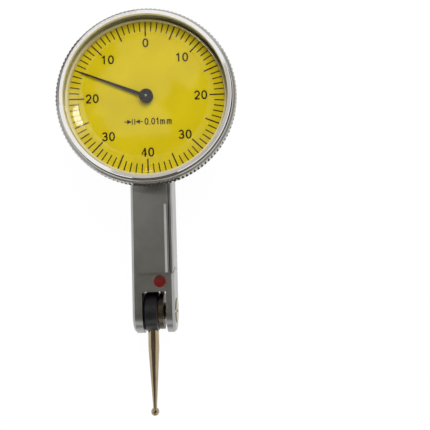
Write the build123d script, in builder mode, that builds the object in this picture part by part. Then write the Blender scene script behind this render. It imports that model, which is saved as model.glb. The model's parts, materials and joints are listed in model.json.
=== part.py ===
from build123d import *
import math
import os

# Lever-type dial test indicator, lying on its back. Millimetres.
# Origin: on the back dovetail's flat face, halfway along it and in the plane of the dial's axis.
# +Y runs along the arm to the dial, +Z out through the crystal, and +X to the side that the cover
# plate closes.

os.makedirs("parts", exist_ok=True)

# Arm, fork and dovetails
body_width = 8.0
cover_thickness = 0.7
arm_thickness = 9.0
arm_edge = 0.3
dovetail_height = 1.8
dovetail_width = 7.2
dovetail_length = 14.0
dovetail_flank_angle = 60
dovetail_edge = 0.45
bezel_gap = 3.5
fork_step = 0.3
fork_step_bulge = 1.1
fork_corner = 0.5
web_length = 3.6
slot_width = 4.9
slot_right_wall = 1.75
rear_arm_reach = 12.0

# Walls and cavity of the arm
left_wall = 1.05
back_wall = 1.0
front_wall = 1.1
lever_bay_drop = 1.5
rear_bay_reach = 6.0
deep_bay_margin = 4.9
opening_wall = 0.7
opening_margin = 0.2
lever_window_side = 0.3
lever_window_below = 0.5
lever_window_above = 0.7

# Round case under the dial
case_diameter = 32.3
case_wall = 1.15
case_floor = 0.8
case_height = 2.4

# Bezel, dial plate and crystal
flange_width = 1.1
flange_height = 1.9
flange_slope = 1.0
knurl_count = 128
knurl_depth = 0.28
knurl_edge = 0.3
skirt_wall = 1.0
ring_width = 0.75
ring_height = 1.3
ring_shoulder = 0.5
ring_edge = 0.12
seat_step = 0.4
bezel_running_gap = 0.25
bezel_foot_gap = 0.7
lip_width = 0.2
dial_thickness = 0.3
dial_hole_diameter = 1.6
dial_retainer_height = 0.45
retainer_width = 0.8
lip_height = 0.9
flange_rise = 0.3
crystal_thickness = 0.8
crystal_rim_height = 0.9
crystal_dome_width = 3.9
crystal_rise = 0.4
gasket_width = 0.15
wire_width = 0.6
wire_gap = 0.05
wire_split_angle = 12
wire_foot_gap = 0.4

# Stylus and its holder
holder_diameter = 8.2
holder_width = 2.9
holder_gap = 0.2
holder_side_gap = 0.15
holder_edge = 0.3
stylus_reach = 20.8
stylus_diameter = 2.3
stylus_neck_diameter = 0.8
stylus_straight = 4.0
stylus_seat_depth = 0.2
stylus_thread_diameter = 1.5
stylus_thread_length = 1.9
ball_diameter = 1.7

# Measuring lever
hub_diameter = 7.6
hub_thickness = 0.9
clutch_washer_thickness = 0.2
clutch_washer_diameter = 6.4
lever_thickness = 0.8
lever_root_height = 2.2
lever_tip_height = 1.2
lever_travel = 2.5
axle_diameter = 1.2
journal_diameter = 0.7
journal_length = 0.6
cone_nut_diameter = 4.2
cone_nut_tip_diameter = 1.9
cone_nut_length = 0.45
bearing_head_diameter = 5.3
bearing_head_height = 0.5
bearing_head_proud = 0.2
bearing_plug_diameter = 3.2

# Gear train: sector to pinion, crown wheel to pointer pinion
sector_teeth_per_turn = 424
sector_teeth_below = 4
sector_teeth_above = 1
sector_thickness = 0.6
sector_overlap = 3.2
sector_rim = 0.9
sector_end_share = 0.6
pinion_teeth = 16
pinion_length = 1.0
crown_teeth = 74
pointer_pinion_teeth = 12
crown_face_width = 0.7
crown_thickness = 0.5
crown_hub_diameter = 2.0
crown_tooth_share = 0.4
crown_hole_count = 4
crown_hole_margin = 0.2
tooth_share = 0.42
tooth_slope_share = 0.2
tooth_foot = 1.25
tooth_sink = 0.4
crown_mesh_rise = 0.77
crown_floor_gap = 0.28
arbor_diameter = 0.9
arbor_journal_diameter = 0.5
arbor_journal_length = 0.5
jewel_diameter = 1.8
jewel_length = 0.7
jewel_boss_diameter = 3.0
jewel_boss_height = 0.6
pointer_pinion_length = 1.1
pointer_arbor_diameter = 0.7
pointer_journal_diameter = 0.3
pointer_shaft_diameter = 0.5
lower_jewel_diameter = 0.7
upper_jewel_diameter = 1.2

# Bridge, cock and hairspring
bridge_thickness = 0.65
bridge_lift = 0.75
bridge_end_gap = 4.0
bridge_width = 5.0
bridge_foot_length = 3.4
cock_thickness = 0.8
cock_width = 1.8
cock_boss_diameter = 1.4
cock_lift = 0.6
cock_tooth_gap = 0.15
cock_overhang = 1.2
cock_shelf_reach = 3.6
cock_screw_reach = 4.8
hairspring_height = 0.25
hairspring_strip = 0.07
hairspring_half_turns = 6
hairspring_outer_radius = 4.2
hairspring_lift = 0.25
collet_diameter = 1.6
collet_height = 0.35
stud_diameter = 0.6

# Pointer
pointer_hub_diameter = 2.85
pointer_hub_height = 0.9
pointer_hub_edge = 0.2
pointer_end_gap = 1.5
pointer_root_width = 0.8
pointer_tip_width = 0.16
pointer_thickness = 0.2
pointer_lift = 0.3
pointer_rest_divisions = 15.0
dial_divisions = 80

# Screws, seal and stop pin
cover_screw_diameter = 1.2
cover_screw_head = 2.3
cover_screw_head_height = 0.45
cover_screw_length = 3.2
cover_screw_front_reach = 3.6
cover_screw_middle_reach = 7.0
small_screw_diameter = 1.0
small_screw_head = 1.8
small_screw_head_height = 0.5
bridge_screw_grip = 0.7
cock_screw_length = 2.8
bridge_screw_inset = 1.6
stop_screw_diameter = 1.5
stop_screw_head = 1.9
stop_screw_head_height = 0.6
seal_diameter = 2.5
seal_depth = 0.8
seal_dome = 0.12
stop_screw_inset = 1.45
stop_pin_diameter = 1.0
stop_pin_y = 6.0
screw_slot_width = 0.3
screw_slot_depth = 0.25
bearing_slot_width = 0.5
bearing_edge = 0.12
nut_hole_diameter = 0.5
nut_hole_circle = 2.9
nut_hole_count = 4

# Clearances
press_gap = 0.01
journal_gap = 0.02
running_gap = 0.1
lever_stop_gap = 0.05
cover_end_gap = 0.12

# Places that follow from the sizes
fork_width = body_width + cover_thickness
left_x = -fork_width / 2
cover_x = left_x + body_width
right_x = fork_width / 2
middle_x = left_x + body_width / 2
back_z = dovetail_height
front_z = back_z + arm_thickness
pivot_z = back_z + arm_thickness / 2
fork_y = -dovetail_length / 2 - fork_step
slot_floor_y = fork_y - web_length
pivot_y = slot_floor_y - holder_diameter / 2 - holder_gap
skirt_radius = case_diameter / 2 + running_gap
seat_radius = skirt_radius + seat_step
ring_radius = seat_radius + ring_width
rim_radius = ring_radius + flange_width
lip_radius = skirt_radius - lip_width
dial_y = dovetail_length / 2 + bezel_gap + rim_radius
arm_end_y = dial_y + rear_arm_reach
slot_right_x = right_x - slot_right_wall
slot_left_x = slot_right_x - slot_width
holder_x = slot_left_x + holder_side_gap
washer_x = holder_x + holder_width + journal_gap
hub_x = washer_x + clutch_washer_thickness
stylus_x = holder_x + holder_width / 2
cavity_x = left_x + left_wall
bay_y = fork_y - fork_step
bay_end_y = dial_y + rear_bay_reach
bay_floor_z = pivot_z - lever_bay_drop
bay_top_z = front_z - front_wall
case_floor_z = front_z + case_floor
case_rim_z = front_z + case_height

# Gear geometry
mesh_z = front_z + crown_mesh_rise
crown_foot_z = back_z + back_wall + crown_floor_gap
crown_radius = (mesh_z - crown_foot_z - crown_face_width / 2) / 2
crown_module = 2 * crown_radius / crown_teeth
crown_z = mesh_z - crown_radius
centre_distance = math.hypot(dial_y - pivot_y, crown_z - pivot_z)
line_angle = math.degrees(math.atan2(crown_z - pivot_z, dial_y - pivot_y))
sector_module = 2 * centre_distance / (sector_teeth_per_turn + pinion_teeth)
sector_radius = sector_module * sector_teeth_per_turn / 2
module_depth = tooth_foot * sector_module
pointer_pinion_radius = crown_module * pointer_pinion_teeth / 2
lever_x = hub_x + (hub_thickness - lever_thickness) / 2
sector_x = lever_x + lever_thickness
pinion_x = sector_x - (pinion_length - sector_thickness) / 2
crown_face_x = -pointer_pinion_radius
crown_root_x = crown_face_x - tooth_foot * crown_module
deep_y = dial_y - crown_radius - deep_bay_margin
opening_right_x = cover_x - opening_wall

# Levels under the crystal
bezel_foot_z = front_z + bezel_foot_gap
retainer_z = case_rim_z + bezel_running_gap
dial_z = retainer_z + dial_retainer_height
face_z = dial_z + dial_thickness
lip_top_z = face_z + lip_height
flange_z = lip_top_z + flange_rise
ring_top_z = flange_z + ring_height
flat_z = lip_top_z + crystal_rim_height + crystal_rise
pointer_z = face_z + pointer_lift
wire_low_z = bezel_foot_z + wire_foot_gap
wire_high_z = wire_low_z + wire_width
bridge_z = case_floor_z + bridge_lift
bridge_top_z = bridge_z + bridge_thickness
hairspring_z = bridge_top_z + hairspring_lift

# The cock lies beside the crown wheel's teeth and just over the arbor
cock_left_x = crown_face_x + crown_module + cock_tooth_gap
cock_z = crown_z + arbor_diameter / 2 + cock_lift
cock_top_z = cock_z + cock_thickness
cock_shelf_y = dial_y + cock_shelf_reach

# Where the screws go: (y, z) in the arm's side, (x, y) in the case floor and the web
cover_screw_places = [
    (fork_y + cover_screw_front_reach, (back_z + bay_floor_z) / 2),
    (dovetail_length / 2 + cover_screw_middle_reach, (back_z + bay_floor_z) / 2),
    ((bay_end_y + arm_end_y) / 2, pivot_z),
]
bridge_half = case_diameter / 2 - case_wall - bridge_end_gap
bridge_screw_x = bridge_half - bridge_screw_inset
bridge_screw_places = [(-bridge_screw_x, dial_y), (bridge_screw_x, dial_y)]
cock_screw_x = cock_left_x + cock_width / 2
cock_screw_y = dial_y + cock_screw_reach
stop_screw_x = lever_x + lever_thickness / 2
stop_screw_y = fork_y - stop_screw_inset
sink_slope = (cover_screw_head - cover_screw_diameter) / 2 / cover_screw_head_height
sink_angle = 2 * math.degrees(math.atan(sink_slope))


def dovetail_profile(half_width):
    """Closed outline of a dovetail that stands on local y = 0, narrow at its root."""
    flank = dovetail_height - dovetail_edge
    root = half_width - flank / math.tan(math.radians(dovetail_flank_angle))
    top = half_width - dovetail_edge
    right = [(root, 0), (half_width, flank), (top, dovetail_height)]
    return right + [(-x, y) for x, y in reversed(right)]


def tooth_profile(module, radius):
    """Closed outline of one gear tooth, pointing along local +X from the gear's centre."""
    pitch = math.pi * module
    tip = pitch * (tooth_share - tooth_slope_share) / 2
    root = pitch * (tooth_share + tooth_slope_share) / 2
    inner = radius - tooth_foot * module
    outer = radius + module
    sunk = inner - tooth_sink * module
    return [(sunk, -root), (inner, -root), (outer, -tip), (outer, tip), (inner, root), (sunk, root)]


def lever_half_height(reach):
    """Half the lever's height at a distance from its pivot."""
    share = reach / (sector_radius - module_depth)
    return (lever_root_height + (lever_tip_height - lever_root_height) * share) / 2


def turned(points):
    """Solid of revolution about the Z axis from its half outline of (radius, height) points."""
    with BuildPart() as blank:
        with BuildSketch(Plane.XZ):
            Polygon(*points, align=None)
        revolve(axis=Axis.Z)
    return blank.part


def slotted_screw(head, head_height, shank, length, countersunk=False):
    """Screw on the Z axis: its head stands on z = 0, or ends flush there if countersunk."""
    top = 0 if countersunk else head_height
    seat = top - head_height
    with BuildPart() as screw:
        with BuildSketch(Plane.XZ):
            with BuildLine():
                if countersunk:
                    Polyline((0, top), (head / 2, top), (shank / 2, seat), (shank / 2, -length))
                else:
                    Polyline((0, top), (head / 2, top), (head / 2, seat), (shank / 2, seat),
                             (shank / 2, -length))
                Polyline((shank / 2, -length), (0, -length), (0, top))
            make_face()
        revolve(axis=Axis.Z)
        with BuildSketch(Plane.XY.offset(top)):
            Rectangle(head, screw_slot_width)
        extrude(amount=-screw_slot_depth, mode=Mode.SUBTRACT)
    return screw.part


def save(piece, name):
    """Label a finished piece and write it."""
    piece.part.label = name
    export_step(piece.part, f"parts/{name}.step")


# Body frame: arm, fork, three dovetails and the round case, machined as one piece
with BuildPart() as body_frame:
    with BuildSketch(Plane.XZ.offset(-arm_end_y)) as arm_section:
        with Locations((middle_x, pivot_z)):
            Rectangle(body_width, arm_thickness)
        chamfer(arm_section.vertices(), arm_edge)
    extrude(amount=arm_end_y - fork_y)
    # Fork block, as wide as arm and cover together, round at its end
    with BuildSketch(Plane.YZ.offset(left_x)):
        with BuildLine():
            Line((fork_y, back_z), (pivot_y, back_z))
            ThreePointArc((pivot_y, back_z), (pivot_y - arm_thickness / 2, pivot_z), (pivot_y, front_z))
            Line((pivot_y, front_z), (fork_y, front_z))
            ThreePointArc((fork_y, front_z), (fork_y + fork_step_bulge, pivot_z), (fork_y, back_z))
        make_face()
    extrude(amount=fork_width)
    # Broken outer edges of the fork's end
    fork_end = body_frame.edges().filter_by(GeomType.CIRCLE).group_by(Axis.Y)[0]
    chamfer(fork_end, fork_corner)
    # Front and back dovetails
    with BuildSketch(Plane.XZ.offset(-dovetail_length / 2)):
        Polygon(*[(middle_x + x, front_z + y) for x, y in dovetail_profile(dovetail_width / 2)], align=None)
        Polygon(*[(middle_x + x, back_z - y) for x, y in dovetail_profile(dovetail_width / 2)], align=None)
    extrude(amount=dovetail_length)
    # Rear dovetail across the end of the arm
    with BuildSketch(Plane.XY.offset(back_z)):
        Polygon(*[(middle_x + x, arm_end_y + y) for x, y in dovetail_profile(dovetail_width / 2)], align=None)
    extrude(amount=arm_thickness - arm_edge)
    # Case
    with BuildSketch(Plane.XY.offset(front_z)):
        with Locations((0, dial_y)):
            Circle(case_diameter / 2)
    extrude(amount=case_height)
    with BuildSketch(Plane.XY.offset(case_floor_z)):
        with Locations((0, dial_y)):
            Circle(case_diameter / 2 - case_wall)
    extrude(amount=case_height, mode=Mode.SUBTRACT)
    # Groove for the bezel's retaining wire
    with BuildSketch(Plane.XY.offset(wire_low_z - wire_gap)):
        with Locations((0, dial_y)):
            Circle(skirt_radius)
            Circle(case_diameter / 2 - wire_width / 2 - wire_gap, mode=Mode.SUBTRACT)
    extrude(amount=wire_width + 2 * wire_gap, mode=Mode.SUBTRACT)
    # Cavity for the movement, open to the cover side, and deeper round the crown wheel
    with BuildSketch(Plane.YZ.offset(cavity_x)):
        with Locations(((bay_y + bay_end_y) / 2, (bay_floor_z + bay_top_z) / 2)):
            Rectangle(bay_end_y - bay_y, bay_top_z - bay_floor_z)
        with Locations(((deep_y + bay_end_y) / 2, (back_z + back_wall + bay_top_z) / 2)):
            Rectangle(bay_end_y - deep_y, bay_top_z - back_z - back_wall)
    extrude(amount=cover_x - cavity_x, mode=Mode.SUBTRACT)
    # Opening from the cavity up into the case
    with BuildSketch(Plane.XY.offset(bay_top_z - opening_margin)):
        with Locations(((cavity_x + opening_right_x) / 2, (deep_y + bay_end_y) / 2)):
            Rectangle(opening_right_x - cavity_x, bay_end_y - deep_y - 2 * opening_margin)
    extrude(amount=case_floor_z - bay_top_z + 2 * opening_margin, mode=Mode.SUBTRACT)
    # Shelf that carries the cock
    with BuildSketch(Plane.YZ.offset(cock_left_x)):
        with Locations(((cock_shelf_y + bay_end_y) / 2, (back_z + cock_z) / 2)):
            Rectangle(bay_end_y - cock_shelf_y, cock_z - back_z)
    extrude(amount=cover_x - cock_left_x)
    # Slot for the stylus holder and window for the lever
    with BuildSketch(Plane.XY.offset(back_z)):
        with Locations(((slot_left_x + slot_right_x) / 2, slot_floor_y - holder_diameter)):
            Rectangle(slot_width, 2 * holder_diameter)
    extrude(amount=arm_thickness, mode=Mode.SUBTRACT)
    with BuildSketch(Plane.XY.offset(pivot_z - lever_root_height / 2 - lever_window_below)):
        with Locations((stop_screw_x, (slot_floor_y + bay_y) / 2)):
            Rectangle(lever_thickness + 2 * lever_window_side, web_length + 1)
    extrude(amount=lever_root_height + lever_window_below + lever_window_above, mode=Mode.SUBTRACT)
    # Recess for the seal, seat of the stop screw's head, and its tapped hole
    with BuildSketch(Plane.XY.offset(front_z)):
        with Locations((stop_screw_x, stop_screw_y)):
            Circle(seal_diameter / 2)
    extrude(amount=-seal_depth, mode=Mode.SUBTRACT)
    with BuildSketch(Plane.XY.offset(front_z)):
        with Locations((stop_screw_x, stop_screw_y)):
            Circle(stop_screw_head / 2 + press_gap)
    extrude(amount=-seal_depth - stop_screw_head_height, mode=Mode.SUBTRACT)
    with BuildSketch(Plane.XY.offset(front_z)):
        with Locations((stop_screw_x, stop_screw_y)):
            Circle(stop_screw_diameter / 2 + press_gap)
    extrude(amount=pivot_z - front_z, mode=Mode.SUBTRACT)
    # Bearing holes through the fork, with a shallow seat for each head
    head_sunk = bearing_head_height - bearing_head_proud
    with BuildSketch(Plane.YZ.offset(left_x)):
        with Locations((pivot_y, pivot_z)):
            Circle(bearing_plug_diameter / 2 + press_gap)
    extrude(amount=fork_width, mode=Mode.SUBTRACT)
    with BuildSketch(Plane.YZ.offset(left_x), Plane.YZ.offset(right_x - head_sunk)):
        with Locations((pivot_y, pivot_z)):
            Circle(bearing_head_diameter / 2 + press_gap)
    extrude(amount=head_sunk, mode=Mode.SUBTRACT)
    # Seat of the left arbor jewel and hole of the lever's stop pin
    with BuildSketch(Plane.YZ.offset(cavity_x)):
        with Locations((dial_y, crown_z)):
            Circle(jewel_diameter / 2 + press_gap)
    extrude(amount=-jewel_length, mode=Mode.SUBTRACT)
    stop_reach = stop_pin_y - pivot_y
    line_slope = math.tan(math.radians(line_angle))
    stop_pin_z = pivot_z + stop_reach * line_slope - lever_half_height(stop_reach)
    stop_pin_z -= lever_stop_gap + stop_pin_diameter / 2
    with BuildSketch(Plane.YZ.offset(cavity_x)):
        with Locations((stop_pin_y, stop_pin_z)):
            Circle(stop_pin_diameter / 2 + press_gap)
    extrude(amount=-left_wall / 2, mode=Mode.SUBTRACT)
    # Tapped holes
    with BuildSketch(Plane.YZ.offset(cover_x)):
        with Locations(*cover_screw_places):
            Circle(cover_screw_diameter / 2 + press_gap)
    extrude(amount=-cover_screw_length, mode=Mode.SUBTRACT)
    with BuildSketch(Plane.XY.offset(case_floor_z)):
        with Locations(*bridge_screw_places):
            Circle(small_screw_diameter / 2 + press_gap)
    extrude(amount=-case_floor, mode=Mode.SUBTRACT)
    with BuildSketch(Plane.XY.offset(cock_z)):
        with Locations((cock_screw_x, cock_screw_y)):
            Circle(small_screw_diameter / 2 + press_gap)
    extrude(amount=-cock_screw_length, mode=Mode.SUBTRACT)
save(body_frame, "body_frame")

# Cover plate: closes the arm's side, carries the right arbor jewel, and ends round at the fork
with BuildPart() as cover_plate:
    with BuildSketch(Plane.YZ.offset(cover_x)):
        with BuildLine():
            Line((fork_y + cover_end_gap, front_z), (arm_end_y, front_z))
            Line((arm_end_y, front_z), (arm_end_y, back_z))
            Line((arm_end_y, back_z), (fork_y + cover_end_gap, back_z))
            ThreePointArc((fork_y + cover_end_gap, back_z),
                          (fork_y + cover_end_gap + fork_step_bulge, pivot_z),
                          (fork_y + cover_end_gap, front_z))
        make_face()
    extrude(amount=cover_thickness)
    outer_edges = cover_plate.faces().sort_by(Axis.X)[-1].edges()
    chamfer(outer_edges, arm_edge)
    with BuildSketch(Plane.YZ.offset(cover_x)):
        with Locations((dial_y, crown_z)):
            Circle(jewel_boss_diameter / 2)
    extrude(amount=-jewel_boss_height)
    with BuildSketch(Plane.YZ.offset(cover_x - jewel_boss_height)):
        with Locations((dial_y, crown_z)):
            Circle(jewel_diameter / 2 + press_gap)
    extrude(amount=jewel_length, mode=Mode.SUBTRACT)
    for y, z in cover_screw_places:
        with Locations(Plane(origin=(right_x, y, z), z_dir=(1, 0, 0))):
            CounterSinkHole(cover_screw_diameter / 2 + press_gap, cover_screw_head / 2 + press_gap,
                            counter_sink_angle=sink_angle)
save(cover_plate, "cover_plate")

cover_screw = slotted_screw(cover_screw_head, cover_screw_head_height, cover_screw_diameter,
                            cover_screw_length, countersunk=True)
with BuildPart() as cover_screws:
    with Locations(*[Plane(origin=(right_x, y, z), z_dir=(1, 0, 0)) for y, z in cover_screw_places]):
        add(cover_screw)
save(cover_screws, "cover_screws")


# Bearing screws of the fork: a slotted head outside and a plain plug that holds the journal
def bearing_screw(length):
    """Bearing screw on the Z axis, its seat at z = 0 and its plug downwards."""
    radius = bearing_head_diameter / 2
    plug = bearing_plug_diameter / 2
    bore = journal_diameter / 2 + journal_gap
    floor = running_gap + journal_length - length
    with BuildPart() as screw:
        add(turned([(0, bearing_head_proud), (radius - bearing_edge, bearing_head_proud),
                    (radius, bearing_head_proud - bearing_edge), (radius, -head_sunk), (plug, -head_sunk),
                    (plug, -length), (bore, -length), (bore, floor), (0, floor)]))
        with BuildSketch(Plane.XY.offset(bearing_head_proud)):
            Rectangle(bearing_head_diameter, bearing_slot_width)
        extrude(amount=-screw_slot_depth, mode=Mode.SUBTRACT)
    return screw.part


with BuildPart() as left_bearing_screw:
    with Locations(Plane(origin=(left_x, pivot_y, pivot_z), z_dir=(-1, 0, 0))):
        add(bearing_screw(slot_left_x - left_x))
save(left_bearing_screw, "left_bearing_screw")

with BuildPart() as right_bearing_screw:
    with Locations(Plane(origin=(right_x, pivot_y, pivot_z), z_dir=(1, 0, 0))):
        add(bearing_screw(slot_right_wall))
save(right_bearing_screw, "right_bearing_screw")

# Stop screw over the lever, and the lacquer that seals it
top_angle = math.radians(line_angle + lever_travel)
stop_screw_reach = stop_screw_y - pivot_y
stop_tip_z = pivot_z + stop_screw_reach * math.tan(top_angle)
stop_tip_z += lever_half_height(stop_screw_reach) / math.cos(top_angle) + lever_stop_gap
stop_seat_z = front_z - seal_depth - stop_screw_head_height
with BuildPart() as stop_screw:
    with Locations((stop_screw_x, stop_screw_y, stop_seat_z)):
        add(slotted_screw(stop_screw_head, stop_screw_head_height, stop_screw_diameter,
                          stop_seat_z - stop_tip_z))
save(stop_screw, "stop_screw")

with BuildPart() as red_seal:
    seal_radius = seal_diameter / 2 - press_gap
    dome_radius = (seal_radius ** 2 + seal_dome ** 2) / (2 * seal_dome)
    dome_middle_z = seal_dome - dome_radius + math.sqrt(dome_radius ** 2 - seal_radius ** 2 / 4)
    with BuildSketch(Plane.XZ):
        with BuildLine():
            Polyline((0, seal_dome), (0, -seal_depth), (seal_radius, -seal_depth), (seal_radius, 0))
            ThreePointArc((seal_radius, 0), (seal_radius / 2, dome_middle_z), (0, seal_dome))
        make_face()
    revolve(axis=Axis.Z)
red_seal.part.position = (stop_screw_x, stop_screw_y, front_z)
save(red_seal, "red_seal")

# Pin that the lever rests on
with BuildPart() as stop_pin:
    with BuildSketch(Plane.YZ.offset(cavity_x - left_wall / 2)):
        with Locations((stop_pin_y, stop_pin_z)):
            Circle(stop_pin_diameter / 2)
    extrude(amount=sector_x - cavity_x + left_wall / 2)
save(stop_pin, "stop_pin")

# Lever axle with a journal at each end
with BuildPart() as lever_axle:
    axle_length = slot_width - 2 * running_gap
    axle = axle_diameter / 2
    journal = journal_diameter / 2
    with Locations(Plane(origin=(slot_left_x + running_gap, pivot_y, pivot_z), z_dir=(1, 0, 0))):
        add(turned([(0, -journal_length), (journal, -journal_length), (journal, 0), (axle, 0),
                    (axle, axle_length), (journal, axle_length), (journal, axle_length + journal_length),
                    (0, axle_length + journal_length)]))
save(lever_axle, "lever_axle")

# Measuring lever: hub disc and tapered arm, pressed on the axle
lever_direction = (0, math.cos(math.radians(line_angle)), math.sin(math.radians(line_angle)))
lever_root = (hub_diameter + axle_diameter) / 4
lever_end = sector_radius - module_depth - sector_rim / 2
with BuildPart() as measuring_lever:
    with BuildSketch(Plane.YZ.offset(hub_x)):
        with Locations((pivot_y, pivot_z)):
            Circle(hub_diameter / 2)
            Circle(axle_diameter / 2 + press_gap, mode=Mode.SUBTRACT)
    extrude(amount=hub_thickness)
    with BuildSketch(Plane(origin=(lever_x, pivot_y, pivot_z), x_dir=lever_direction, z_dir=(1, 0, 0))):
        Polygon((lever_root, -lever_half_height(lever_root)), (lever_end, -lever_half_height(lever_end)),
                (lever_end, lever_half_height(lever_end)), (lever_root, lever_half_height(lever_root)),
                align=None)
    extrude(amount=lever_thickness)
save(measuring_lever, "measuring_lever")

# Sector gear on the lever's right side
tooth_angle = 360 / sector_teeth_per_turn
sector_root = sector_radius - module_depth
sector_low = math.radians(-(sector_teeth_below + sector_end_share) * tooth_angle)
sector_high = math.radians((sector_teeth_above + sector_end_share) * tooth_angle)
sector_tail = sector_root - sector_overlap


def on_circle(radius, angle):
    """Point on a circle about the local origin, angle in radians."""
    return (radius * math.cos(angle), radius * math.sin(angle))


with BuildPart() as sector_gear:
    with BuildSketch(Plane(origin=(sector_x, pivot_y, pivot_z), x_dir=lever_direction, z_dir=(1, 0, 0))):
        with BuildLine():
            ThreePointArc(on_circle(sector_root, sector_low),
                          on_circle(sector_root, (sector_low + sector_high) / 2),
                          on_circle(sector_root, sector_high))
            Polyline(on_circle(sector_root, sector_high), on_circle(sector_root - sector_rim, sector_high),
                     (sector_tail, lever_half_height(sector_tail)),
                     (sector_tail, -lever_half_height(sector_tail)),
                     on_circle(sector_root - sector_rim, sector_low), on_circle(sector_root, sector_low))
        make_face()
        with PolarLocations(0, sector_teeth_below + sector_teeth_above + 1,
                            start_angle=-sector_teeth_below * tooth_angle,
                            angular_range=(sector_teeth_below + sector_teeth_above) * tooth_angle,
                            endpoint=True):
            Polygon(*tooth_profile(sector_module, sector_radius), align=None)
    extrude(amount=sector_thickness)
save(sector_gear, "sector_gear")

# Clutch: washer on one side of the hub, conical nut on the other
with BuildPart() as clutch_washer:
    with BuildSketch(Plane.YZ.offset(washer_x)):
        with Locations((pivot_y, pivot_z)):
            Circle(clutch_washer_diameter / 2)
            Circle(axle_diameter / 2 + press_gap, mode=Mode.SUBTRACT)
    extrude(amount=clutch_washer_thickness)
save(clutch_washer, "clutch_washer")

with BuildPart() as clutch_nut:
    with Locations(Plane(origin=(hub_x + hub_thickness, pivot_y, pivot_z), z_dir=(1, 0, 0))):
        nut_bore = axle_diameter / 2 + press_gap
        add(turned([(nut_bore, 0), (cone_nut_diameter / 2, 0), (cone_nut_tip_diameter / 2, cone_nut_length),
                    (nut_bore, cone_nut_length)]))
    with BuildSketch(Plane.YZ.offset(hub_x + hub_thickness)):
        with Locations((pivot_y, pivot_z)):
            with PolarLocations(nut_hole_circle / 2, nut_hole_count):
                Circle(nut_hole_diameter / 2)
    extrude(amount=cone_nut_length, mode=Mode.SUBTRACT)
save(clutch_nut, "clutch_nut")

# Stylus holder: drum that turns on the axle with friction
with BuildPart() as stylus_holder:
    with BuildSketch(Plane.YZ.offset(holder_x)):
        with Locations((pivot_y, pivot_z)):
            Circle(holder_diameter / 2)
    extrude(amount=holder_width)
    chamfer(stylus_holder.edges().filter_by(GeomType.CIRCLE), holder_edge)
    with BuildSketch(Plane.YZ.offset(holder_x)):
        with Locations((pivot_y, pivot_z)):
            Circle(axle_diameter / 2 + journal_gap)
    extrude(amount=holder_width, mode=Mode.SUBTRACT)
    stylus_seat_y = pivot_y - holder_diameter / 2 + stylus_seat_depth
    with BuildSketch(Plane.XZ.offset(-stylus_seat_y)):
        with Locations((stylus_x, pivot_z)):
            Circle(stylus_diameter / 2 + running_gap)
    extrude(amount=stylus_seat_depth, mode=Mode.SUBTRACT)
    with BuildSketch(Plane.XZ.offset(-stylus_seat_y)):
        with Locations((stylus_x, pivot_z)):
            Circle(stylus_thread_diameter / 2 + press_gap)
    extrude(amount=-stylus_thread_length - running_gap, mode=Mode.SUBTRACT)
save(stylus_holder, "stylus_holder")

# Contact stylus and the ball brazed to its tip
stylus_seat = holder_diameter / 2 - stylus_seat_depth
ball_flat = math.sqrt(ball_diameter ** 2 - stylus_neck_diameter ** 2) / 2
with BuildPart() as stylus:
    with Locations(Plane(origin=(stylus_x, pivot_y, pivot_z), z_dir=(0, -1, 0))):
        add(turned([(0, stylus_seat - stylus_thread_length),
                    (stylus_thread_diameter / 2, stylus_seat - stylus_thread_length),
                    (stylus_thread_diameter / 2, stylus_seat), (stylus_diameter / 2, stylus_seat),
                    (stylus_diameter / 2, stylus_seat + stylus_straight),
                    (stylus_neck_diameter / 2, stylus_reach - ball_flat), (0, stylus_reach - ball_flat)]))
save(stylus, "stylus")

with BuildPart() as contact_ball:
    with Locations((stylus_x, pivot_y - stylus_reach, pivot_z)):
        Sphere(ball_diameter / 2)
    split(bisect_by=Plane.XZ.offset(stylus_reach - pivot_y - ball_flat), keep=Keep.TOP)
save(contact_ball, "contact_ball")


# Gear blanks and jewels
def gear_disc(plane, module, teeth, length, start_angle):
    """Toothed disc on a plane whose origin lies on the gear's axis."""
    with BuildPart() as disc:
        with BuildSketch(plane):
            Circle(module * (teeth / 2 - tooth_foot))
            with PolarLocations(0, teeth, start_angle=start_angle):
                Polygon(*tooth_profile(module, module * teeth / 2), align=None)
        extrude(amount=length)
    return disc.part


def jewel(diameter, bore_diameter, length, depth):
    """Bearing jewel standing on z = 0, its bore open at the top."""
    bore = bore_diameter / 2 + journal_gap
    floor = length - depth
    if floor > 0:
        return turned([(0, 0), (diameter / 2, 0), (diameter / 2, length), (bore, length), (bore, floor),
                       (0, floor)])
    return turned([(bore, 0), (diameter / 2, 0), (diameter / 2, length), (bore, length)])


# Crown arbor: cross shaft with the pinion that the sector drives
arbor_x = cavity_x + running_gap
arbor_length = cover_x - jewel_boss_height - running_gap - arbor_x
with BuildPart() as crown_arbor:
    with Locations(Plane(origin=(arbor_x, dial_y, crown_z), z_dir=(1, 0, 0))):
        arbor_journal = arbor_journal_diameter / 2
        add(turned([(0, -arbor_journal_length), (arbor_journal, -arbor_journal_length), (arbor_journal, 0),
                    (arbor_diameter / 2, 0), (arbor_diameter / 2, arbor_length),
                    (arbor_journal, arbor_length), (arbor_journal, arbor_length + arbor_journal_length),
                    (0, arbor_length + arbor_journal_length)]))
    add(gear_disc(Plane(origin=(pinion_x, dial_y, crown_z), x_dir=(0, 1, 0), z_dir=(1, 0, 0)),
                  sector_module, pinion_teeth, pinion_length, 180 + line_angle + 180 / pinion_teeth))
save(crown_arbor, "crown_arbor")

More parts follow.
